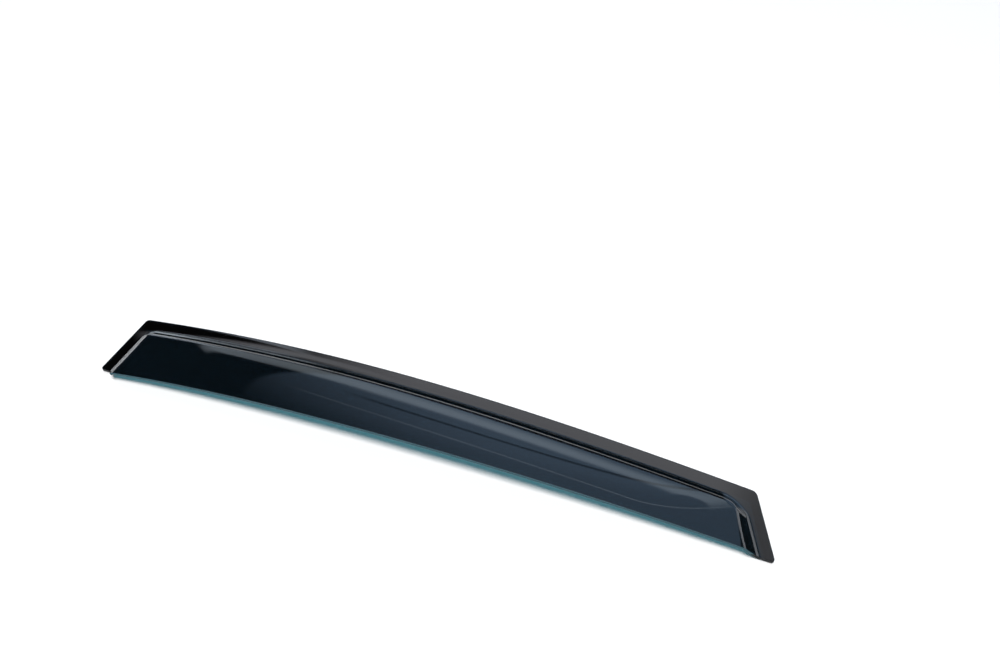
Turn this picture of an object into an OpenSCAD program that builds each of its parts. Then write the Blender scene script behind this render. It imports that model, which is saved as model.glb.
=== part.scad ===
// Stick-on window rain deflector for a rear side door, lying on its mounting side.
// X runs along the window, Y points to the top of the window and Z away from the glass.
// One moulded sheet carries a flat flange, a joggle and a crowned blade. Foam tape strips
// with peel-off film sit on the back of the flange.

/* [Outline] */
// Straight distance between the two upper corners
top_chord = 702; // [500:1:900]
// Height of the upper edge's arch above that chord
top_arch = 22.5; // [5:0.5:40]
// How strongly that arch leans to the left end
top_skew = 20; // [0:1:40]
// Depth from the chord to the left lower corner
left_depth = 80.5; // [70:0.5:110]
// Depth from the chord to the right lower corner
right_depth = 73; // [70:0.5:110]
// How far the left end edge leans outwards
left_lean = 8.5; // [0:0.5:30]
// How far the right end edge leans outwards
right_lean = 30.5; // [0:0.5:45]
// Height of the lower edge's arch above the line between its corners
low_arch = 3.8; // [0:0.2:15]
// How far the blade hangs below the flange at the left end
left_drop = 8; // [0:0.1:10]
// How far the blade hangs below the flange at the right end
right_drop = 1.2; // [0:0.1:8]
// Length over which those drops fade out
drop_fade = 110; // [30:1:150]
// Radius of the two left corners
left_corner_r = 3.5; // [1:0.5:6]
// Radius of the two right corners
right_corner_r = 4.5; // [1:0.5:6]

/* [Sheet] */
// Thickness of the moulded sheet
sheet = 3; // [2:0.1:4]
// Width of the flange along the upper edge
flange_top = 17; // [12:0.5:25]
// Width of the flange at the left end
flange_left = 13.4; // [10:0.1:25]
// Width of the flange at the right end
flange_right = 15.5; // [10:0.5:25]
// Rise of the joggle from the flange to the blade
joggle_rise = 7; // [5:0.5:12]
// Slope of the joggle wall along the top, in degrees
joggle_angle = 38; // [35:1:50]
// Slope of the joggle wall at the left end, in degrees
left_angle = 47; // [35:1:55]
// Slope of the joggle wall at the right end, in degrees
right_angle = 36; // [30:1:50]
// Blend height of the bend at the foot of the joggle
bend = 2.2; // [1.6:0.1:3]
// Blend height of the bend at the crest of the joggle
crest_bend = 1.1; // [0.8:0.1:2.2]
// Radius of the joggle's foot line at the upper left corner
left_turn_r = 13; // [8:0.5:25]
// Radius of the joggle's foot line at the upper right corner
right_turn_r = 19; // [8:0.5:30]

/* [Blade] */
// Rise of the blade's lower edge over the flange at both ends
edge_rise_end = 8; // [6:0.5:16]
// Rise of the blade's lower edge over the flange at mid length
edge_rise_mid = 21.5; // [12:0.5:30]
// Camber of the blade between the crest and the lower edge
camber = 0.55; // [0:0.05:0.8]

/* [Tape] */
// Thickness of the foam tape
tape_t = 1.1; // [0.8:0.1:2]
// Thickness of the peel-off film
liner_t = 0.15; // [0.1:0.05:0.3]
// Distance from the flange's edge to the tape
tape_inset = 1; // [0.5:0.1:2]
// Width of the tape along the upper edge
top_tape_w = 12; // [8:0.5:12]
// Width of the tape at the two ends
end_tape_w = 8; // [6:0.5:9]
// Gap between two neighbouring tape strips
tape_gap = 1.5; // [0.5:0.1:3]
// Length of the short upper strip at the right end
short_tape = 13; // [8:0.5:25]
// Corner radius of the cut tape strips
tape_corner_r = 1.5; // [0.5:0.1:2.5]

/* [Detail] */
// Sections of the sheet between its two end zones
mid_sections = 30; // [16:2:40]
// Sections of the sheet across the blade
blade_sections = 8; // [6:1:12]
// Sections across each joggle
joggle_sections = 13; // [8:1:14]

/* [Hidden] */

smoked = [0.16, 0.19, 0.23];
foam_black = [0.07, 0.07, 0.08];
film_red = [0.72, 0.10, 0.09];

span = top_chord + left_lean + right_lean;
base = tape_t + liner_t;
left_cos = left_depth / norm([left_depth, left_lean]);
right_cos = right_depth / norm([right_depth, right_lean]);
// Steepness of the two end walls compared with the wall along the top
left_ratio = tan(left_angle) / tan(joggle_angle);
right_ratio = tan(right_angle) / tan(joggle_angle);
wall_run = joggle_rise / tan(joggle_angle);
bend_run = bend / tan(joggle_angle);
// Places along the lower edge where the blade starts at each end
left_crest = (flange_left + wall_run / left_ratio) / left_cos - left_lean;
right_crest = top_chord + right_lean - (flange_right + wall_run / right_ratio) / right_cos;
// The blade's own surface starts inside the wall, so that both meet at the crest
blade_start = flange_top + wall_run - 1.4 * bend_run;

function mix(a, b, t) = a + (b - a) * t;
function ease(t) = let (c = min(max(t, 0), 1)) c * c * (3 - 2 * c);
function smooth_max(a, b, k) = max(a, b) + pow(max(k - abs(a - b), 0), 2) / (4 * k);
function smooth_min(a, b, k) = -smooth_max(-a, -b, k);

// Outline: share of the length, upper edge, and lower edge with the blade's drop at both ends
function share(x) = (x + left_lean) / span;
function bow(x) = 4 * share(x) * (1 - share(x));
function top_y(x) = let (t = x / top_chord) t * (1 - t) * (4 * top_arch + top_skew * (1 - 2 * t));
function fade(past_crest, run) = exp(-max(past_crest, 0) / drop_fade) * ease(past_crest / run + 1);
function drop(x) =
    left_drop * fade(x - left_crest, wall_run / left_ratio)
    + right_drop * fade(right_crest - x, wall_run / right_ratio);
function low_y(x) = -mix(left_depth, right_depth, share(x)) + low_arch * bow(x) - drop(x);

// Distance of a point inside the joggle's foot line, with rounded turns at the two corners
function from_top(x, y) = top_y(x) - y - flange_top;
function from_left(x, y) =
    left_ratio * (left_cos * (x - y * left_lean / left_depth) - flange_left);
function from_right(x, y) =
    right_ratio * (right_cos * (top_chord - x - y * right_lean / right_depth) - flange_right);
function turn(a, b, r) = let (p = max(r - a, 0), q = max(r - b, 0))
    p + q == 0 ? min(a, b) : r - norm([p, q]);
function inside(x, y) =
    turn(turn(from_top(x, y), from_left(x, y), left_turn_r), from_right(x, y), right_turn_r);

// Height of the sheet's middle surface over the flange
function edge_rise(x) = mix(edge_rise_end, edge_rise_mid, min(max(bow(x), 0), 1));
function blade_rise(x, y) = let (
    high = top_y(x) - blade_start,
    t = max((high - y) / (high - low_y(x)), 0)
) joggle_rise + (edge_rise(x) - joggle_rise) * (t + camber * t * (1 - t));
function wall_rise(x, y) = smooth_max(0, inside(x, y) * tan(joggle_angle), bend);
function rise(x, y) = smooth_min(wall_rise(x, y), blade_rise(x, y), crest_bend);

// A station is [millimetres, share]: a place that far past the given share of the width
corner_steps = [0, 0.25, 0.55, 1];
function corner_line(r) = [for (s = corner_steps) s * r];
function joggle_line(start, ratio, slope_cos) = [
    for (i = [0:joggle_sections])
        (start + mix(-bend_run, wall_run + 1.6 * bend_run, i / joggle_sections) / ratio) / slope_cos
];
left_line = concat(corner_line(left_corner_r), joggle_line(flange_left, left_ratio, left_cos));
right_line = concat(corner_line(right_corner_r), joggle_line(flange_right, right_ratio, right_cos));
top_line = concat(corner_line(right_corner_r), joggle_line(flange_top, 1, 1));
low_line = corner_line(right_corner_r);
function last(list) = list[len(list) - 1];
function between(start, end, count) = [
    for (i = [1:count - 1]) [mix(start, -end, i / count), i / count]
];
function from_start(line) = [for (m = line) [m, 0]];
function from_end(line) = [for (i = [len(line) - 1:-1:0]) [-line[i], 1]];
function stations(first, second, count) =
    concat(from_start(first), between(last(first), last(second), count), from_end(second));
along = stations(left_line, right_line, mid_sections);
across = stations(top_line, low_line, blade_sections);

// Plan position of a pair of stations on the leaning outline
function plan(u, v) = let (
    xt = u.x + u.y * top_chord,
    xl = u.x + u.y * span - left_lean,
    depth = top_y(xt) - low_y(xl),
    w = (v.x + v.y * depth) / depth
) [mix(xt, xl, w), mix(top_y(xt), low_y(xl), w)];

// Inside a corner the square of stations is bent onto the corner's arc
function reach(s, r) = s.y == 0 ? max(r - s.x, 0) : s.y == 1 ? max(r + s.x, 0) : 0;
function toward(s, d) = [s.x + (s.y == 0 ? d : -d), s.y];
function rounded_plan(u, v) = let (
    r = u.y < 0.5 ? left_corner_r : right_corner_r,
    p = reach(u, r),
    q = reach(v, r),
    s = p * q > 0 ? max(p, q) / norm([p, q]) : 1
) plan(toward(u, p * (1 - s)), toward(v, q * (1 - s)));

// The middle surface's normal, and the sheet's faces half a sheet to each side of it
probe = 0.02;
function sheet_normal(x, y) = let (
    dx = (rise(x + probe, y) - rise(x - probe, y)) / (2 * probe),
    dy = (rise(x, y + probe) - rise(x, y - probe)) / (2 * probe)
) [-dx, -dy, 1] / norm([dx, dy, 1]);
function sheet_point(p, side) =
    [p.x, p.y, base + sheet / 2 + rise(p.x, p.y)] + side * sheet / 2 * sheet_normal(p.x, p.y);

plan_grid = [for (u = along) for (v = across) rounded_plan(u, v)];
outer = [for (p = plan_grid) sheet_point(p, 1)];
inner = [for (p = plan_grid) sheet_point(p, -1)];

// The origin is the middle of the sheet's box, at the underside of the film
function box_middle(values) = (max(values) + min(values)) / 2;
sheet_xs = [for (p = concat(outer, inner)) p.x];
sheet_ys = [for (p = concat(outer, inner)) p.y];
middle = [box_middle(sheet_xs), box_middle(sheet_ys), 0];

// Moulded sheet: both faces of the grid of stations, and the cut edge around it
module visor() {
    nu = len(along);
    nv = len(across);
    under = len(plan_grid);
    cells = [for (i = [0:nu - 2]) for (j = [0:nv - 2]) i * nv + j];
    rim = concat(
        [for (i = [0:nu - 2]) i * nv],
        [for (j = [0:nv - 2]) (nu - 1) * nv + j],
        [for (i = [nu - 1:-1:1]) i * nv + nv - 1],
        [for (j = [nv - 1:-1:1]) j]
    );
    turns = len(rim);
    faces = concat(
        [for (c = cells) [c, c + nv, c + nv + 1]],
        [for (c = cells) [c, c + nv + 1, c + 1]],
        [for (c = cells) [under + c, under + c + nv + 1, under + c + nv]],
        [for (c = cells) [under + c, under + c + 1, under + c + nv + 1]],
        [for (i = [0:turns - 1]) [rim[i], under + rim[(i + 1) % turns], rim[(i + 1) % turns]]],
        [for (i = [0:turns - 1]) [rim[i], under + rim[i], under + rim[(i + 1) % turns]]]
    );
    color(smoked) translate(-middle) polyhedron(points = concat(outer, inner), faces = faces);
}

// Strip outlines on the flange, between two stations each way
function strip(us, v0, v1) = concat([for (u = us) plan(u, v0)],
    [for (i = [len(us) - 1:-1:0]) plan(us[i], v1)]);
top_strip_us = concat(
    [[tape_inset, 0]],
    [for (i = [1:mid_sections - 1]) [0, i / mid_sections]],
    [[-tape_inset, 1]]
);
left_strip_us = [[tape_inset, 0], [tape_inset + end_tape_w, 0] / left_cos];
right_strip_us = [[-tape_inset - end_tape_w, right_cos] / right_cos, [-tape_inset, 1]];
end_strip_top = tape_inset + top_tape_w + tape_gap;
short_strip_end = end_strip_top + short_tape;

module strip_shape(us, v0, v1) {
    offset(r = tape_corner_r, $fn = 16)
        offset(delta = -tape_corner_r)
            polygon(strip(us, v0, v1));
}
module top_strip() {
    polygon(strip(top_strip_us, [tape_inset, 0], [tape_inset + top_tape_w, 0]));
}
module left_strip() {
    strip_shape(left_strip_us, [end_strip_top, 0], [-tape_inset, 1]);
}
module right_upper_strip() {
    strip_shape(right_strip_us, [end_strip_top, 0], [short_strip_end, 0]);
}
module right_lower_strip() {
    strip_shape(right_strip_us, [short_strip_end + tape_gap, 0], [-tape_inset, 1]);
}

// Foam lies on the flange's back and film under the foam
module foam() {
    color(foam_black) translate([0, 0, liner_t] - middle) linear_extrude(tape_t) children();
}
module film() {
    color(film_red) translate(-middle) linear_extrude(liner_t) children();
}
module top_tape() { foam() top_strip(); }
module left_tape() { foam() left_strip(); }
module right_upper_tape() { foam() right_upper_strip(); }
module right_lower_tape() { foam() right_lower_strip(); }
module top_liner() { film() top_strip(); }
module left_liner() { film() left_strip(); }
module right_upper_liner() { film() right_upper_strip(); }
module right_lower_liner() { film() right_lower_strip(); }

visor();
top_tape();
left_tape();
right_upper_tape();
right_lower_tape();
top_liner();
left_liner();
right_upper_liner();
right_lower_liner();
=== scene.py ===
"""Dresses the window rain deflector: moulded smoked sheet, foam tape, peel-off film, studio.

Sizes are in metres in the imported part's frame: X runs along the window, Y points to the
top of the window and Z away from the glass. The part lies on its mounting side.
"""

import math
from dataclasses import dataclass

import bpy
import numpy as np
from bpy.props import FloatProperty, FloatVectorProperty, IntProperty, PointerProperty
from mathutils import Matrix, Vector


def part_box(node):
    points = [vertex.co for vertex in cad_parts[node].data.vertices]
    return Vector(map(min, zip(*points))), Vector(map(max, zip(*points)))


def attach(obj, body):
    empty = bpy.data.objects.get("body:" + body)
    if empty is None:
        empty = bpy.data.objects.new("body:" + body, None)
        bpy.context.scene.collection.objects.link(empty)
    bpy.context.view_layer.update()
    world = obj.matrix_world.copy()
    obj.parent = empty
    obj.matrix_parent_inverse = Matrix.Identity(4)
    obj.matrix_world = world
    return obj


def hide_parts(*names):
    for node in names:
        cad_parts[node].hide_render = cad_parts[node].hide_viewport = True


bl_info = {
    "name": "Window Rain Deflector",
    "version": (1, 0, 0),
    "blender": (4, 5, 0),
    "location": "3D View > Sidebar > Deflector",
    "description": "Moulds the smoked sheet, finishes tape and film, and lights the part",
    "category": "Object",
}

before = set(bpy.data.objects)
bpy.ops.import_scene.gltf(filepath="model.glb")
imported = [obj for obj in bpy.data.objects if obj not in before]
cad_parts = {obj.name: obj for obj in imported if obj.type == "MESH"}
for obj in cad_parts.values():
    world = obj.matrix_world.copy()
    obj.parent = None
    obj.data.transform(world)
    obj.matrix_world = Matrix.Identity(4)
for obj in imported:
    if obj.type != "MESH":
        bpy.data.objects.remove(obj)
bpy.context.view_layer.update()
SHEET_LOW, SHEET_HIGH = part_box("visor")
TAPE_NODES = [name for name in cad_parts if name.endswith("_tape")]
FILM_NODES = [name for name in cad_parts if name.endswith("_liner")]
MM = 0.001
# The film carries the tape and the tape carries the sheet
FILM_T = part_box("top_liner")[1][2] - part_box("top_liner")[0][2]
TAPE_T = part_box("top_tape")[1][2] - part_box("top_tape")[0][2]

# Mesh sections of the corners' squares, the flange between corner and joggle, and the fillet
CORNER_SECTIONS = 6
FLANGE_SECTIONS = 4
FILLET_SECTIONS = 5
# In runs of the foot's bend: how far before the crest the blade's curve starts, and how far
# past the crest the joggle's fine sections go
BLADE_LEAD = 1.4
CREST_REACH = 1.6
# Distance from a place to the points that give its normal
PROBE = 0.02 * MM

ACRYLIC_IOR = 1.49
# Height below the crest over which the cut edge's painted glow fades in over its painted shade
GLOW_FADE = 1.5 * MM

FLOOR_HALF = 4.0
KEY_PLACE = (0.2, -1.3, 4.82)
KEY_SIZE = 1.8
SENSOR_WIDTH = 36.0
WHITE = (1.0, 1.0, 1.0)

# The cards stand on a wall ahead, where a direction has a place across and a height. Directions
# that point less ahead than this count as if they pointed this much ahead.
NEARLY_ASIDE = 0.001
# Lines on that wall: height in the middle, slope and bend
WALL_CURVES = {
    "over_high_edge": (0.752, 0.11, 0.0),
    "over_left_top": (0.8031, 0.185, 0.0),
    "over_arch": (0.4345, 0.0642, 0.9465),
    "over_corner": (0.3607, -0.5556, 0.0),
    "over_fold": (0.8172, 0.23, 0.0),
    "over_seam": (0.614, 0.258, 0.0),
    "over_dark_seam": (0.5258, 0.188, -0.0212),
}
# Slanted measures: share of the height that is added to the place across, and an offset
WALL_SLANTS = {
    "past_slant": (1.3, -0.689),
    "past_crest": (-0.88, 0.0),
}
# Where across the wall the bright seam starts to fall, and how steeply
SEAM_TURN = 0.36
SEAM_FALL = 3.6

# Cards by the studio property that sets their brightness. Each has a tint and soft edges: what
# is measured, where the card is dark and where it is lit.
FACING = ("ahead", 0.05, 0.15)
BEHIND = (FACING, ("across", 1.0, 0.8))
CARDS = {
    # Its lower edge climbs to the right
    "high_card": ((0.98, 1.0, 1.07), (
        *BEHIND, ("over_high_edge", -0.008, 0.008), ("height", 0.9, 0.86),
    )),
    # Fades to the left, and ends there on a slanted line
    "wide_card": ((0.54, 0.79, 1.12), (
        *BEHIND, ("over_high_edge", 0.008, -0.008), ("across", -0.45, 0.2),
        ("past_slant", -0.232, -0.218),
    )),
    # A narrow bright band, with its limits along the arch in card_shading
    "arched_card": ((0.87, 1.0, 1.1), (
        *BEHIND, ("across", -0.3, -0.14), ("across", 0.5, 0.44),
    )),
    # Carries the arched card on to the left with a sharp edge
    "wedge_card": ((0.87, 1.0, 1.12), (
        *BEHIND, ("over_arch", 0.0302, 0.0272), ("over_arch", -0.075, -0.07),
        ("across", -0.34, -0.315), ("across", -0.14, -0.3),
    )),
    # Below the wedge
    "corner_card": ((0.9, 1.0, 1.1), (
        *BEHIND, ("over_corner", -0.02, -0.03), ("height", 0.0, 0.05),
        ("across", -0.6, -0.5), ("across", -0.05, -0.1),
    )),
    # Only the fold at the upper left sees it
    "fold_card": ((0.88, 0.98, 1.12), (
        *BEHIND, ("over_fold", 0.0005, -0.0005), ("over_fold", -0.05, -0.04),
        ("across", -0.6, -0.55), ("across", -0.28, -0.34),
    )),
    # A bright seam across the wide card
    "hairline": ((0.9, 1.0, 1.1), (
        *BEHIND, ("from_seam", 0.003, 0.0015), ("across", -0.24, -0.16), ("across", 0.5, 0.47),
    )),
    # Low cards at both sides, for the end walls and the left crest
    "right_card": ((0.95, 1.0, 1.07), (
        FACING, ("across", 0.82, 0.95), ("across", 2.4, 2.1),
        ("height", 0.1, 0.14), ("height", 0.62, 0.56),
    )),
    "left_card": ((0.98, 1.0, 1.04), (
        FACING, ("across", -0.62, -0.68), ("across", -1.4, -1.2), ("height", 0.27, 0.23),
    )),
    "crest_card": ((0.98, 1.0, 1.04), (
        FACING, ("past_crest", -1.18, -1.16), ("across", -0.61, -0.63),
        ("height", 0.2, 0.25), ("height", 0.57, 0.53),
    )),
}


def length(name, default_mm, description):
    """A size that a user can change, shown in the scene's unit of length."""
    return FloatProperty(
        name=name, description=description, default=default_mm * MM, min=0.0, unit="LENGTH"
    )


def colour(name, default, description):
    """A linear colour that a user can change."""
    return FloatVectorProperty(
        name=name, description=description, default=default,
        size=3, min=0.0, max=1.0, subtype="COLOR",
    )


def strength(name, default, description):
    """A brightness that a user can change."""
    return FloatProperty(name=name, description=description, default=default, min=0.0)


def angle(name, degrees, description):
    """An angle that a user can change."""
    return FloatProperty(
        name=name, description=description, default=math.radians(degrees), subtype="ANGLE"
    )


def point(name, default, description):
    """A place in space that a user can change."""
    return FloatVectorProperty(
        name=name, description=description, default=default, size=3, subtype="TRANSLATION"
    )


def sections(name, default, least, description):
    """A number of mesh sections that a user can change."""
    return IntProperty(name=name, description=description, default=default, min=least)


class DEFLECTOR_PG_sheet(bpy.types.PropertyGroup):
    """Sizes of the moulded sheet, the same as in the solid part"""

    top_chord: length("Upper chord", 702, "Straight distance between the two upper corners")
    top_arch: length("Upper arch", 22.5, "Height of the upper edge's arch above its chord")
    top_skew: length("Arch lean", 20, "How strongly that arch leans to the left end")
    left_depth: length("Left depth", 80.5, "Depth from the chord to the left lower corner")
    right_depth: length("Right depth", 73, "Depth from the chord to the right lower corner")
    left_lean: length("Left lean", 8.5, "How far the left end edge leans outwards")
    right_lean: length("Right lean", 30.5, "How far the right end edge leans outwards")
    low_arch: length("Lower arch", 3.8, "Height of the lower edge's arch above its tip line")
    left_drop: length("Left drop", 8, "How far the blade hangs below the flange, left")
    right_drop: length("Right drop", 1.2, "How far the blade hangs below the flange, right")
    drop_fade: length("Drop fade", 110, "Length over which those drops fade out")
    left_corner_r: length("Left corners", 3.5, "Radius of the two left corners")
    right_corner_r: length("Right corners", 4.5, "Radius of the two right corners")
    thickness: length("Thickness", 3, "Thickness of the moulded sheet")
    flange_top: length("Top flange", 17, "Width of the flange along the upper edge")
    flange_left: length("Left flange", 13.4, "Width of the flange at the left end")
    flange_right: length("Right flange", 15.5, "Width of the flange at the right end")
    joggle_rise: length("Joggle rise", 7, "Rise of the joggle from the flange to the blade")
    bend: length("Foot bend", 2.2, "Blend height of the bend at the joggle's foot")
    crest_bend: length("Crest bend", 1.1, "Blend height of the bend at the joggle's crest")
    left_turn_r: length("Left turn", 13, "Foot line radius at the upper left corner")
    right_turn_r: length("Right turn", 19, "Foot line radius at the upper right corner")
    edge_rise_end: length("End rise", 8, "Rise of the blade's lower edge at both ends")
    edge_rise_mid: length("Middle rise", 21.5, "Rise of the blade's lower edge at mid length")
    edge_fillet: length("Edge fillet", 0.3, "Radius of the fillet along the cut edge")
    tape_clearance: length("Tape clearance", 0.03, "Glue line between the flange and the foam")
    joggle_angle: angle("Joggle slope", 38, "Slope of the joggle wall along the top")
    left_angle: angle("Left slope", 47, "Slope of the joggle wall at the left end")
    right_angle: angle("Right slope", 36, "Slope of the joggle wall at the right end")
    camber: FloatProperty(
        name="Camber", description="Camber of the blade from the crest to the lower edge",
        default=0.55, min=0.0, max=0.8, subtype="FACTOR",
    )
    mid_sections: sections("Middle sections", 200, 20, "Mesh sections between the end zones")
    blade_sections: sections("Blade sections", 54, 6, "Mesh sections across the blade")
    joggle_sections: sections("Joggle sections", 34, 8, "Mesh sections across each joggle")


class DEFLECTOR_PG_finish(bpy.types.PropertyGroup):
    """Colours of the sheet, the tape and the film"""

    smoke: colour("Smoke", (0.015, 0.02, 0.028), "What the sheet lets through in one pass")
    floor_tint: colour("Floor tint", (0.026, 0.112, 0.132), "Light that gets through to the floor")
    # Painted glow: a teal base colour for the cut edge that stands in for the light the sheet
    # carries to it
    painted_edge_glow: colour("Cut edge", (0.03, 0.088, 0.112), "Glow of the blade's cut lower edge")
    foam: colour("Foam", (0.012, 0.012, 0.013), "Colour of the foam tape")
    film: colour("Film", (0.42, 0.018, 0.014), "Colour of the peel-off film")


class DEFLECTOR_PG_studio(bpy.types.PropertyGroup):
    """Floor, lights and camera"""

    floor: colour("Floor", (0.9, 0.9, 0.9), "Colour of the floor")
    backdrop: colour("Backdrop", (0.93, 0.93, 0.94), "Background that the camera sees")
    key_light: strength("Key", 28.0, "Brightness of the softbox above")
    fill_light: strength("Fill", 0.03, "Brightness of the dark studio around")
    high_card: strength("High card", 1.85, "Brightness of the highest card behind the part")
    wide_card: strength("Wide card", 1.1, "Brightness of the wide bluish card below it")
    arched_card: strength("Arched card", 1.3, "Brightness of the narrow arched card")
    wedge_card: strength("Wedge card", 1.6, "Brightness of the arched card's left end")
    corner_card: strength("Corner card", 1.3, "Brightness of the card below the wedge")
    fold_card: strength("Fold card", 2.0, "Brightness of the card that the upper left fold sees")
    left_card: strength("Left card", 3.2, "Brightness of the low card at the left")
    crest_card: strength("Crest card", 5.0, "Brightness of the card that the left crest sees")
    right_card: strength("Right card", 2.0, "Brightness of the low card at the right")
    hairline: strength("Hairline", 1.05, "Brightness of the seam across the wide card")
    bearing: angle("Bearing", -19.3, "Direction in which the cards stand, to the right of Y")
    eye: point("Camera", (0.2792, -0.5666, 0.8575), "Place of the camera")
    aim: point("Aim", (0.0285, 0.1482, 0.0043), "Point that the camera looks at")
    lens: FloatProperty(
        name="Lens", description="Focal length in millimetres on a 36 mm wide sensor",
        default=36.06, min=1.0,
    )


def mix(a, b, t):
    return a + (b - a) * t


def ease(t):
    c = np.clip(t, 0.0, 1.0)
    return c * c * (3.0 - 2.0 * c)


def smooth_max(a, b, k):
    return np.maximum(a, b) + np.maximum(k - np.abs(a - b), 0.0) ** 2 / (4.0 * k)


def smooth_min(a, b, k):
    return -smooth_max(-a, -b, k)


def turn(a, b, radius):
    """The smaller of two distances, with a round turn where both lines meet."""
    p = np.maximum(radius - a, 0.0)
    q = np.maximum(radius - b, 0.0)
    return np.where(p + q == 0.0, np.minimum(a, b), radius - np.hypot(p, q))


@dataclass
class SheetForm:
    """The sheet's outline and height, from the same rules as the solid part."""

    s: DEFLECTOR_PG_sheet

    def __post_init__(self):
        s = self.s
        self.span = s.top_chord + s.left_lean + s.right_lean
        self.left_cos = s.left_depth / math.hypot(s.left_depth, s.left_lean)
        self.right_cos = s.right_depth / math.hypot(s.right_depth, s.right_lean)
        self.slope = math.tan(s.joggle_angle)
        self.left_ratio = math.tan(s.left_angle) / self.slope
        self.right_ratio = math.tan(s.right_angle) / self.slope
        self.wall_run = s.joggle_rise / self.slope
        self.bend_run = s.bend / self.slope
        left_inset = (s.flange_left + self.wall_run / self.left_ratio) / self.left_cos
        self.left_crest = left_inset - s.left_lean
        right_inset = (s.flange_right + self.wall_run / self.right_ratio) / self.right_cos
        self.right_crest = s.top_chord + s.right_lean - right_inset
        self.blade_start = s.flange_top + self.wall_run - BLADE_LEAD * self.bend_run

    def share(self, x):
        return (x + self.s.left_lean) / self.span

    def bow(self, x):
        return 4.0 * self.share(x) * (1.0 - self.share(x))

    def top_y(self, x):
        t = x / self.s.top_chord
        return t * (1.0 - t) * (4.0 * self.s.top_arch + self.s.top_skew * (1.0 - 2.0 * t))

    def fade(self, past_crest, run):
        faded = np.exp(-np.maximum(past_crest, 0.0) / self.s.drop_fade)
        return faded * ease(past_crest / run + 1.0)

    def low_y(self, x):
        s = self.s
        drop = s.left_drop * self.fade(x - self.left_crest, self.wall_run / self.left_ratio)
        drop = drop + s.right_drop * self.fade(
            self.right_crest - x, self.wall_run / self.right_ratio
        )
        return s.low_arch * self.bow(x) - mix(s.left_depth, s.right_depth, self.share(x)) - drop

    def inside(self, x, y):
        """Distance inside the joggle's foot line."""
        s = self.s
        top = self.top_y(x) - y - s.flange_top
        past_left = x - y * s.left_lean / s.left_depth
        left = self.left_ratio * (self.left_cos * past_left - s.flange_left)
        past_right = s.top_chord - x - y * s.right_lean / s.right_depth
        right = self.right_ratio * (self.right_cos * past_right - s.flange_right)
        return turn(turn(top, left, s.left_turn_r), right, s.right_turn_r)

    def rise(self, x, y):
        """Height of the sheet's middle surface over the flange."""
        s = self.s
        wall = smooth_max(np.zeros_like(x), self.inside(x, y) * self.slope, s.bend)
        high = self.top_y(x) - self.blade_start
        t = np.maximum((high - y) / (high - self.low_y(x)), 0.0)
        edge = mix(s.edge_rise_end, s.edge_rise_mid, np.clip(self.bow(x), 0.0, 1.0))
        blade = s.joggle_rise + (edge - s.joggle_rise) * (t + s.camber * t * (1.0 - t))
        return smooth_min(wall, blade, s.crest_bend)

    def normal(self, x, y):
        dx = (self.rise(x + PROBE, y) - self.rise(x - PROBE, y)) / (2.0 * PROBE)
        dy = (self.rise(x, y + PROBE) - self.rise(x, y - PROBE)) / (2.0 * PROBE)
        steep = np.stack([-dx, -dy, np.ones_like(x)], axis=-1)
        return steep / np.linalg.norm(steep, axis=-1, keepdims=True)

    def stations(self):
        """Station lines along and across: an offset, and a share of the length or depth."""
        s = self.s
        corner_steps = np.linspace(0.0, 1.0, CORNER_SECTIONS + 1)

        def end_line(radius, flange, ratio, slope_cos):
            first = flange - self.bend_run / ratio
            last = flange + (self.wall_run + CREST_REACH * self.bend_run) / ratio
            flat = np.linspace(radius, first / slope_cos, FLANGE_SECTIONS + 1)[1:-1]
            joggle = np.linspace(first, last, s.joggle_sections + 1) / slope_cos
            return np.concatenate([corner_steps * radius, flat, joggle])

        left = end_line(s.left_corner_r, s.flange_left, self.left_ratio, self.left_cos)
        right = end_line(s.right_corner_r, s.flange_right, self.right_ratio, self.right_cos)
        top = end_line(s.right_corner_r, s.flange_top, 1.0, 1.0)
        low = corner_steps * s.right_corner_r
        return (
            join_lines(left, right, s.mid_sections),
            join_lines(top, low, s.blade_sections),
        )

    def plan(self, u, v):
        """Plan position of stations on the leaning outline."""
        s = self.s
        xt = u[..., 0] + u[..., 1] * s.top_chord
        xl = u[..., 0] + u[..., 1] * self.span - s.left_lean
        yt, yl = self.top_y(xt), self.low_y(xl)
        depth = yt - yl
        w = (v[..., 0] + v[..., 1] * depth) / depth
        return mix(xt, xl, w), mix(yt, yl, w)

    def rounded_plan(self, u, v):
        """The same, with the four corner squares bent onto the corners' arcs."""
        s = self.s
        radius = np.where(u[..., 1] < 0.5, s.left_corner_r, s.right_corner_r)
        p, q = reach(u, radius), reach(v, radius)
        size = np.hypot(p, q)
        bent = np.where(p * q > 0.0, np.maximum(p, q) / np.where(size > 0.0, size, 1.0), 1.0)
        return self.plan(toward(u, p * (1.0 - bent)), toward(v, q * (1.0 - bent)))


def join_lines(first, second, count):
    """Stations from the first end, evenly through the middle, and to the second end."""
    share = np.arange(1, count) / count
    middle = np.stack([mix(first[-1], -second[-1], share), share], axis=1)
    start = np.stack([first, np.zeros_like(first)], axis=1)
    end = np.stack([-second[::-1], np.ones_like(second)], axis=1)
    return np.concatenate([start, middle, end])


def reach(station, radius):
    """How far a station lies inside a corner's square."""
    at_start = np.maximum(radius - station[..., 0], 0.0) * (station[..., 1] == 0.0)
    at_end = np.maximum(radius + station[..., 0], 0.0) * (station[..., 1] == 1.0)
    return at_start + at_end


def toward(station, distance):
    """A station moved away from its own end."""
    moved = station.copy()
    moved[..., 0] += np.where(station[..., 1] == 0.0, distance, -distance)
    return moved


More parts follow.
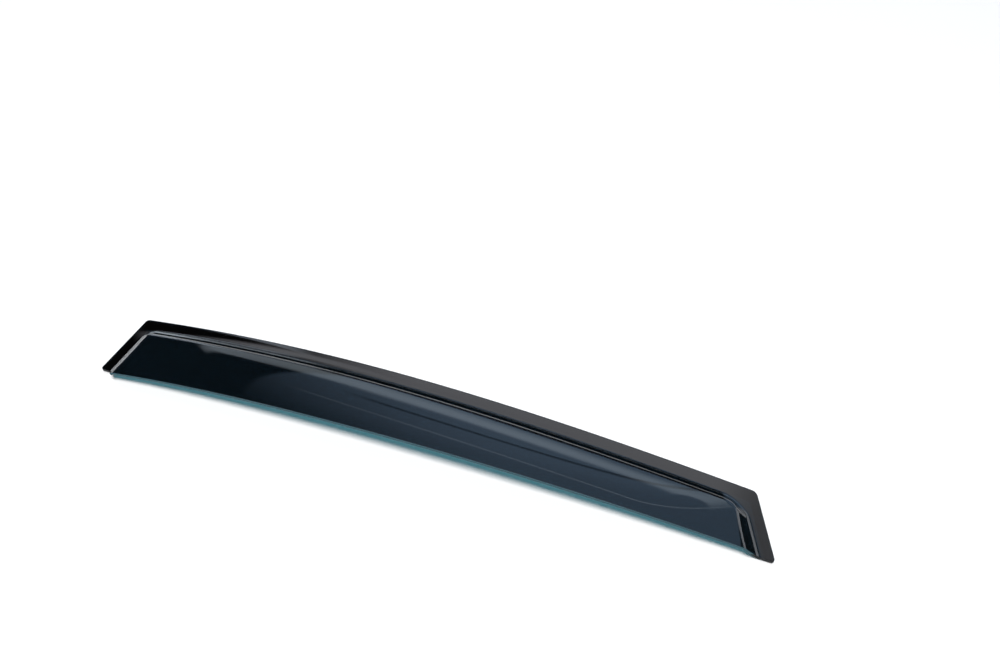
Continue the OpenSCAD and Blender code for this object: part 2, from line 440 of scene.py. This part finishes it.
def sheet_mesh(sizes):
    """Vertices, quads and the number of rim quads of the moulded sheet."""
    form = SheetForm(sizes)
    along, across = form.stations()
    nu, nv = len(along), len(across)
    u = np.repeat(along[:, None, :], nv, axis=1)
    v = np.repeat(across[None, :, :], nu, axis=0)
    x, y = form.rounded_plan(u, v)
    normal = form.normal(x, y).reshape(-1, 3)
    half = (sizes.thickness - sizes.tape_clearance) / 2.0
    lift = FILM_T + TAPE_T + sizes.thickness / 2.0 + sizes.tape_clearance / 2.0
    middle = np.stack([x, y, form.rise(x, y) + lift], axis=-1).reshape(-1, 3)

    index = np.arange(nu * nv).reshape(nu, nv)
    rim = np.concatenate([index[:-1, 0], index[-1, :-1], index[:0:-1, -1], index[0, :0:-1]])
    tangent = np.roll(middle[rim], -1, axis=0) - np.roll(middle[rim], 1, axis=0)
    outward = np.cross(normal[rim], tangent)
    outward /= np.linalg.norm(outward, axis=1, keepdims=True)
    if np.sum(outward[:, :2] * (middle[rim] - middle.mean(axis=0))[:, :2]) < 0.0:
        outward = -outward

    fillet = sizes.edge_fillet
    outer = middle + normal * half
    inner = middle - normal * half
    outer[rim] -= outward * fillet
    inner[rim] -= outward * fillet
    turns = np.linspace(0.0, math.pi / 2, FILLET_SECTIONS + 1)[1:]
    core = middle[rim] - outward * fillet

    def ring(side, a):
        up = half - fillet + fillet * math.cos(a)
        return core + side * normal[rim] * up + outward * fillet * math.sin(a)

    rings = [ring(1.0, a) for a in turns] + [ring(-1.0, a) for a in turns[::-1]]
    points = np.concatenate([outer, inner] + rings)

    under = nu * nv
    a, b = index[:-1, :-1].ravel(), index[1:, :-1].ravel()
    c, d = index[1:, 1:].ravel(), index[:-1, 1:].ravel()
    faces = [np.stack([a, d, c, b], axis=1), np.stack([a, b, c, d], axis=1) + under]
    loops = [rim]
    loops += [2 * under + k * len(rim) + np.arange(len(rim)) for k in range(len(rings))]
    loops.append(rim + under)
    for over, below in zip(loops[:-1], loops[1:]):
        faces.append(np.stack([over, np.roll(over, -1), np.roll(below, -1), below], axis=1))
    return points, np.concatenate(faces), len(rim) * (len(loops) - 1)


def fit_on_node(points, low, high):
    """Moves points in plan to the node's middle and keeps them inside its box."""
    low, high = np.array(low), np.array(high)
    start, end = points.min(axis=0), points.max(axis=0)
    scale = np.minimum((high - low) / (end - start), 1.0)
    scale[2] = 1.0
    fitted = (points - (start + end) / 2.0) * scale
    fitted[:, :2] += (low + high)[:2] / 2.0
    fitted[:, 2] = points[:, 2]
    return fitted


def mesh_object(name, points, faces):
    """A smooth-shaded mesh object from arrays."""
    mesh = bpy.data.meshes.new(name)
    mesh.from_pydata(points.tolist(), [], faces.tolist())
    mesh.validate()
    mesh.shade_smooth()
    obj = bpy.data.objects.new(name, mesh)
    bpy.context.scene.collection.objects.link(obj)
    return obj


def new_material(name):
    """An empty node material, its tree and the object's coordinates in it."""
    material = bpy.data.materials.new(name)
    material.use_nodes = True
    tree = material.node_tree
    tree.nodes.clear()
    return material, tree, add(tree, "ShaderNodeTexCoord").outputs["Object"]


def feed(tree, socket, value):
    """Links a socket to another one, or sets it to a constant."""
    if isinstance(value, bpy.types.NodeSocket):
        tree.links.new(value, socket)
    else:
        socket.default_value = value


def add(tree, kind, settings=None, **inputs):
    """Adds a node, sets its options, and sets or links its inputs by name."""
    node = tree.nodes.new(kind)
    for key, value in (settings or {}).items():
        setattr(node, key, value)
    for key, value in inputs.items():
        feed(tree, node.inputs[key.replace("_", " ")], value)
    return node


def show(tree, shader, kind="ShaderNodeOutputMaterial"):
    """Sends a shader to the tree's output."""
    tree.links.new(shader, tree.nodes.new(kind).inputs["Surface"])


def mix_shaders(tree, factor, first, second):
    """Two shaders, with the second one where the factor is 1."""
    node = add(tree, "ShaderNodeMixShader", Fac=factor)
    tree.links.new(first, node.inputs[1])
    tree.links.new(second, node.inputs[2])
    return node.outputs["Shader"]


def principled(tree, **inputs):
    return add(tree, "ShaderNodeBsdfPrincipled", **inputs).outputs["BSDF"]


def ray_kind(tree, name):
    """1 for rays of one kind, and 0 for the others."""
    return add(tree, "ShaderNodeLightPath").outputs[name]


def rgba(tint, share=1.0):
    return (*(channel * share for channel in tint), 1.0)


def stretched(tree, place, scale):
    """Coordinates with a scale on each axis."""
    return add(tree, "ShaderNodeMapping", Vector=place, Scale=scale).outputs["Vector"]


def noise(tree, place, scale, detail):
    return add(tree, "ShaderNodeTexNoise", Vector=place, Scale=scale, Detail=detail).outputs["Fac"]


def remap(tree, value, low, high, start=0.3, end=0.7):
    """Stretches a range of values, by default that of a noise, to another one."""
    return add(
        tree, "ShaderNodeMapRange",
        Value=value, From_Min=start, From_Max=end, To_Min=low, To_Max=high,
    ).outputs["Result"]


def shade_between(tree, factor, first, second):
    """A colour between two others."""
    node = add(tree, "ShaderNodeMix", {"data_type": "RGBA"}, Factor=factor)
    feed(tree, node.inputs["A"], first)
    feed(tree, node.inputs["B"], second)
    return node.outputs["Result"]


def mottled(tree, clouds, base, darkest, lightest):
    """A colour that a noise varies between two shares of its brightness."""
    factor = remap(tree, clouds, low=0.0, high=1.0)
    return shade_between(tree, factor, rgba(base, darkest), rgba(base, lightest))


def bumped(tree, height, distance, power):
    return add(
        tree, "ShaderNodeBump", Height=height, Distance=distance, Strength=power
    ).outputs["Normal"]


def smoked_acrylic(smoke, floor_tint):
    """Glossy see-through plastic that tints what is behind it and the light on the floor."""
    material, tree, place = new_material("smoked_acrylic")
    flow = stretched(tree, place, (0.25, 1.0, 1.0))
    streaks = noise(tree, flow, scale=24.0, detail=3.0)
    polish = noise(tree, place, scale=90.0, detail=4.0)
    waves = noise(tree, flow, scale=30.0, detail=1.0)
    gloss = principled(
        tree,
        Base_Color=mottled(tree, streaks, smoke, darkest=0.9, lightest=1.1),
        Roughness=remap(tree, polish, low=0.005, high=0.015),
        IOR=ACRYLIC_IOR,
        Transmission_Weight=1.0,
        Normal=bumped(tree, waves, distance=0.02 * MM, power=0.3),
    )
    # Light on its way to the floor passes two faces, and each takes the tint's square root
    one_face = tuple(math.sqrt(channel) for channel in floor_tint)
    shadow = add(tree, "ShaderNodeBsdfTransparent", Color=rgba(one_face)).outputs["BSDF"]
    show(tree, mix_shaders(tree, ray_kind(tree, "Is Shadow Ray"), gloss, shadow))
    return material


def sawn_edge_painted_glow(smoke, painted_edge_glow, glow_from, glow_to):
    """Finely sawn edge with painted light: painted shade at the flange, and a painted teal glow
    where the blade stands free, in place of the light that the sheet carries to its edge.
    """
    material, tree, place = new_material("sawn_edge_painted_glow")
    height = add(tree, "ShaderNodeSeparateXYZ", Vector=place).outputs["Z"]
    # Painted shade below the crest (a darkened smoke colour) turns into a painted teal glow above
    # it
    free = remap(tree, height, low=0.0, high=1.0, start=glow_from, end=glow_to)
    marks = noise(tree, stretched(tree, place, (8.0, 8.0, 1.0)), scale=160.0, detail=3.0)
    # Painted glow, varied by the saw marks
    lit = mottled(tree, marks, painted_edge_glow, darkest=0.88, lightest=1.12)
    show(tree, principled(
        tree,
        Base_Color=shade_between(tree, free, rgba(smoke, 0.3), lit),
        Roughness=remap(tree, marks, low=0.4, high=0.55),
        Specular_IOR_Level=0.25,
        Normal=bumped(tree, marks, distance=0.02 * MM, power=0.4),
    ))
    return material


def foam_material(foam):
    """Matt black acrylic foam with fine open cells."""
    material, tree, place = new_material("black_foam")
    cells = add(tree, "ShaderNodeTexVoronoi", Vector=place, Scale=1600.0).outputs["Distance"]
    clouds = noise(tree, place, scale=300.0, detail=4.0)
    show(tree, principled(
        tree,
        Base_Color=mottled(tree, clouds, foam, darkest=0.8, lightest=1.6),
        Roughness=remap(tree, clouds, low=0.75, high=0.95),
        Normal=bumped(tree, cells, distance=0.15 * MM, power=0.6),
    ))
    return material


def film_material(film):
    """Thin red polyester film with a fine woven emboss."""
    material, tree, place = new_material("red_film")
    bands = add(
        tree, "ShaderNodeTexWave", {"bands_direction": "DIAGONAL"},
        Vector=place, Scale=260.0, Distortion=0.4,
    ).outputs["Fac"]
    clouds = noise(tree, place, scale=120.0, detail=3.0)
    show(tree, principled(
        tree,
        Base_Color=mottled(tree, clouds, film, darkest=0.85, lightest=1.15),
        Roughness=remap(tree, clouds, low=0.22, high=0.38),
        Normal=bumped(tree, bands, distance=0.05 * MM, power=0.3),
    ))
    return material


def floor_material(floor):
    """Matt white studio floor."""
    material, tree, place = new_material("studio_floor")
    clouds = noise(tree, place, scale=3.0, detail=2.0)
    show(tree, principled(
        tree,
        Base_Color=mottled(tree, clouds, floor, darkest=0.995, lightest=1.0),
        Roughness=remap(tree, clouds, low=0.9, high=0.95),
        Specular_IOR_Level=0.0,
    ))
    return material


def dress(nodes, material):
    """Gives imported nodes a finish."""
    for name in nodes:
        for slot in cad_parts[name].material_slots:
            slot.material = material


def look_at(obj, target):
    obj.rotation_euler = (Vector(target) - obj.location).to_track_quat("-Z", "Y").to_euler()


def softbox(name, place, target, width, brightness):
    """A square light whose face has the given brightness."""
    light = bpy.data.lights.new(name, "AREA")
    light.shape = "RECTANGLE"
    light.size = width
    light.size_y = width
    light.energy = brightness * math.pi * width * width
    obj = bpy.data.objects.new(name, light)
    obj.location = place
    look_at(obj, target)
    obj.visible_camera = False
    bpy.context.scene.collection.objects.link(obj)


def math_node(tree, operation, *values):
    """One step of arithmetic on sockets or numbers."""
    node = add(tree, "ShaderNodeMath", {"operation": operation})
    for socket, value in zip(node.inputs, values):
        feed(tree, socket, value)
    return node.outputs["Value"]


def step(tree, value, start, end, low=0.0, high=1.0):
    """A soft step from the low number at the start to the high one at the end."""
    return add(
        tree, "ShaderNodeMapRange", {"interpolation_type": "SMOOTHSTEP"},
        Value=value, From_Min=start, From_Max=end, To_Min=low, To_Max=high,
    ).outputs["Result"]


def product(tree, first, *others):
    total = first
    for other in others:
        total = math_node(tree, "MULTIPLY", total, other)
    return total


def wall_measures(tree, bearing):
    """Where a direction meets the wall of cards: across, up, and over each of its lines."""
    direction = add(tree, "ShaderNodeTexCoord").outputs["Generated"]
    turned = add(
        tree, "ShaderNodeVectorRotate", {"rotation_type": "Z_AXIS"},
        Vector=direction, Angle=bearing,
    ).outputs["Vector"]
    axes = add(tree, "ShaderNodeSeparateXYZ", Vector=turned).outputs
    ahead = axes["Y"]
    height = axes["Z"]
    across = math_node(tree, "DIVIDE", axes["X"], math_node(tree, "MAXIMUM", ahead, NEARLY_ASIDE))
    wall = {"ahead": ahead, "across": across, "height": height}
    for name, (middle, slope, bend) in WALL_CURVES.items():
        bent = math_node(tree, "MULTIPLY_ADD", across, bend, slope)
        line = math_node(tree, "MULTIPLY_ADD", across, bent, middle)
        wall[name] = math_node(tree, "SUBTRACT", height, line)
    for name, (share, offset) in WALL_SLANTS.items():
        shifted = math_node(tree, "ADD", across, offset)
        wall[name] = math_node(tree, "MULTIPLY_ADD", height, share, shifted)

    past_turn = math_node(tree, "MAXIMUM", math_node(tree, "SUBTRACT", across, SEAM_TURN), 0.0)
    fall = math_node(tree, "MULTIPLY", past_turn, past_turn)
    to_seam = math_node(tree, "MULTIPLY_ADD", fall, SEAM_FALL, wall["over_seam"])
    wall["from_seam"] = math_node(tree, "ABSOLUTE", to_seam)
    wall["from_dark_seam"] = math_node(tree, "ABSOLUTE", wall["over_dark_seam"])
    return wall


def card_shading(tree, wall):
    """What shapes the cards beyond their own soft edges."""

    def edge(measure, start, end, low=0.0, high=1.0):
        return step(tree, wall[measure], start, end, low, high)

    def either(first, second):
        return math_node(tree, "MAXIMUM", first, second)

    # High card: at the left only its top is lit, and the right end is dimmer
    left_top = product(
        tree, edge("over_left_top", -0.0015, 0.0015), edge("across", -0.56, -0.5)
    )
    high = [either(left_top, edge("across", -0.4, -0.12)), edge("across", 0.5, 0.38, low=0.5)]

    # Arched card: softer below than above, narrower to the right, and sharp at the left end
    shrink_low = edge("across", 0.2, 0.45, low=1.0, high=2.5)
    shrink_high = math_node(
        tree, "ADD", edge("across", 0.4, 0.45, high=7.0),
        edge("across", 0.2, 0.45, low=1.0, high=1.6),
    )
    arched = [
        either(edge("over_arch", 0.035, 0.021), edge("across", -0.12, -0.03)),
        step(tree, math_node(tree, "MULTIPLY", wall["over_arch"], shrink_high), 0.045, 0.012),
        step(tree, math_node(tree, "MULTIPLY", wall["over_arch"], shrink_low), -0.07, 0.0),
    ]

    # Wide card: dimmer at the top, with a dark seam across it
    wide = [
        either(edge("over_arch", -0.075, -0.05), edge("across", 0.44, 0.5)),
        edge("height", 0.6, 0.69, low=1.0, high=0.83),
        either(
            edge("from_dark_seam", 0.003, 0.011, low=0.35),
            edge("across", -0.03, -0.12, low=0.35),
        ),
    ]

    # Corner card: brighter to the left, with a dark gap across it
    above_gap = product(tree, edge("height", 0.42, 0.44), edge("across", -0.44, -0.42))
    corner = [
        either(edge("height", 0.31, 0.27), above_gap),
        edge("across", -0.2, -0.27, low=1.0, high=3.0),
    ]

    return {
        "high_card": high,
        "arched_card": arched,
        "wide_card": wide,
        "corner_card": corner,
        "hairline": [edge("across", -0.1, 0.05, low=0.5)],
    }


def studio_world(studio):
    """Dark studio with pale cards behind the part, as its gloss sees them."""
    world = bpy.data.worlds.new("studio")
    bpy.context.scene.world = world
    world.use_nodes = True
    tree = world.node_tree
    tree.nodes.clear()
    wall = wall_measures(tree, studio.bearing)
    shading = card_shading(tree, wall)

    total = add(
        tree, "ShaderNodeBackground", Color=rgba(WHITE), Strength=studio.fill_light
    ).outputs["Background"]
    for name, (tint, edges) in CARDS.items():
        limits = [step(tree, wall[measure], start, end) for measure, start, end in edges]
        brightness = product(tree, *limits, *shading.get(name, ()), getattr(studio, name))
        light = add(tree, "ShaderNodeBackground", Color=rgba(tint), Strength=brightness)
        joined = add(tree, "ShaderNodeAddShader")
        tree.links.new(total, joined.inputs[0])
        tree.links.new(light.outputs["Background"], joined.inputs[1])
        total = joined.outputs["Shader"]
    seen = add(tree, "ShaderNodeBackground", Color=rgba(studio.backdrop)).outputs["Background"]
    both = mix_shaders(tree, ray_kind(tree, "Is Camera Ray"), total, seen)
    show(tree, both, "ShaderNodeOutputWorld")


class DEFLECTOR_OT_mould_sheet(bpy.types.Operator):
    """Moulds the smoked sheet in place of the plain solid"""

    bl_idname = "deflector.mould_sheet"
    bl_label = "Mould Sheet"

    def execute(self, context):
        finish = context.scene.deflector_finish
        sizes = context.scene.deflector_sheet
        points, faces, rim_count = sheet_mesh(sizes)
        sheet = mesh_object("smoked_sheet", fit_on_node(points, SHEET_LOW, SHEET_HIGH), faces)
        # The cut edge's painted glow fades in just below the crest, over painted shade at the
        # flange
        crest = FILM_T + TAPE_T + sizes.joggle_rise
        for material in (
            smoked_acrylic(tuple(finish.smoke), tuple(finish.floor_tint)),
            sawn_edge_painted_glow(tuple(finish.smoke), tuple(finish.painted_edge_glow), crest - GLOW_FADE, crest),
        ):
            sheet.data.materials.append(material)
        kinds = np.zeros(len(sheet.data.polygons), dtype=np.int32)
        kinds[-rim_count:] = 1
        sheet.data.polygons.foreach_set("material_index", kinds)
        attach(sheet, "root")
        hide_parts("visor")
        return {"FINISHED"}


class DEFLECTOR_OT_finish_tape(bpy.types.Operator):
    """Gives the foam tape strips their cells"""

    bl_idname = "deflector.finish_tape"
    bl_label = "Finish Tape"

    def execute(self, context):
        dress(TAPE_NODES, foam_material(tuple(context.scene.deflector_finish.foam)))
        return {"FINISHED"}


class DEFLECTOR_OT_finish_film(bpy.types.Operator):
    """Gives the peel-off film its colour and emboss"""

    bl_idname = "deflector.finish_film"
    bl_label = "Finish Film"

    def execute(self, context):
        dress(FILM_NODES, film_material(tuple(context.scene.deflector_finish.film)))
        return {"FINISHED"}


class DEFLECTOR_OT_set_stage(bpy.types.Operator):
    """Lays the floor and sets the lights and the camera"""

    bl_idname = "deflector.set_stage"
    bl_label = "Set Stage"

    def execute(self, context):
        studio = context.scene.deflector_studio
        corners = FLOOR_HALF * np.array([[-1, -1, 0], [1, -1, 0], [1, 1, 0], [-1, 1, 0]])
        floor = mesh_object("studio_floor", corners, np.array([[0, 1, 2, 3]]))
        floor.data.materials.append(floor_material(tuple(studio.floor)))
        studio_world(studio)
        softbox("key_softbox", KEY_PLACE, (0.0, 0.0, 0.0), KEY_SIZE, studio.key_light)
        camera = bpy.data.objects.new("camera", bpy.data.cameras.new("camera"))
        camera.data.sensor_width = SENSOR_WIDTH
        camera.data.lens = studio.lens
        camera.location = studio.eye
        look_at(camera, studio.aim)
        context.scene.collection.objects.link(camera)
        context.scene.camera = camera
        context.scene.view_settings.view_transform = "Standard"
        return {"FINISHED"}


class DEFLECTOR_PT_panel(bpy.types.Panel):
    """Lists the pieces and the stage"""

    bl_idname = "DEFLECTOR_PT_panel"
    bl_label = "Rain Deflector"
    bl_space_type = "VIEW_3D"
    bl_region_type = "UI"
    bl_category = "Deflector"

    def draw(self, context):
        for operator in OPERATORS:
            self.layout.operator(operator.bl_idname)
        for holder in GROUPS:
            group = getattr(context.scene, holder)
            column = self.layout.column()
            for key in group.bl_rna.properties.keys():
                if key not in {"rna_type", "name"}:
                    column.prop(group, key)


OPERATORS = [
    DEFLECTOR_OT_mould_sheet,
    DEFLECTOR_OT_finish_tape,
    DEFLECTOR_OT_finish_film,
    DEFLECTOR_OT_set_stage,
]
GROUPS = {
    "deflector_sheet": DEFLECTOR_PG_sheet,
    "deflector_finish": DEFLECTOR_PG_finish,
    "deflector_studio": DEFLECTOR_PG_studio,
}
CLASSES = [*GROUPS.values(), *OPERATORS, DEFLECTOR_PT_panel]


def register():
    for cls in CLASSES:
        bpy.utils.register_class(cls)
    for holder, group in GROUPS.items():
        setattr(bpy.types.Scene, holder, PointerProperty(type=group))


def unregister():
    for holder in reversed(GROUPS):
        delattr(bpy.types.Scene, holder)
    for cls in reversed(CLASSES):
        bpy.utils.unregister_class(cls)


def main():
    register()
    bpy.ops.deflector.set_stage()
    bpy.ops.deflector.mould_sheet()
    bpy.ops.deflector.finish_tape()
    bpy.ops.deflector.finish_film()


if __name__ == "__main__":
    main()
